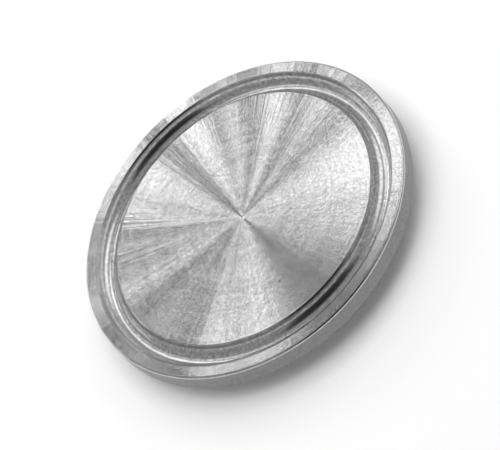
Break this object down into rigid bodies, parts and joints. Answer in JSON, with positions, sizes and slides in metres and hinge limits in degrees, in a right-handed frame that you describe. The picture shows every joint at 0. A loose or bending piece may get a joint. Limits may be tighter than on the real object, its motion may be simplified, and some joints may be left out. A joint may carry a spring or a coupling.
{
  "type": "sanitary clamp end cap",
  "caption": "Solid round end cap for a sanitary clamp joint, with a gasket groove in its flat sealing face and a sloped clamp seat behind the rim.",
  "frame": {"origin": "centre of the flat back, at its lowest plane", "axes": "+Z along the cap's axis, out of the sealing face; X and Y are free, because the cap is round"},
  "size_m": [0.0506, 0.0506, 0.0063],
  "materials": {
    "turned_steel": "fine turned, concentric marks"
  },
  "bodies": {
    "root": {"end_cap": "turned_steel"}
  },
  "joints": []
}
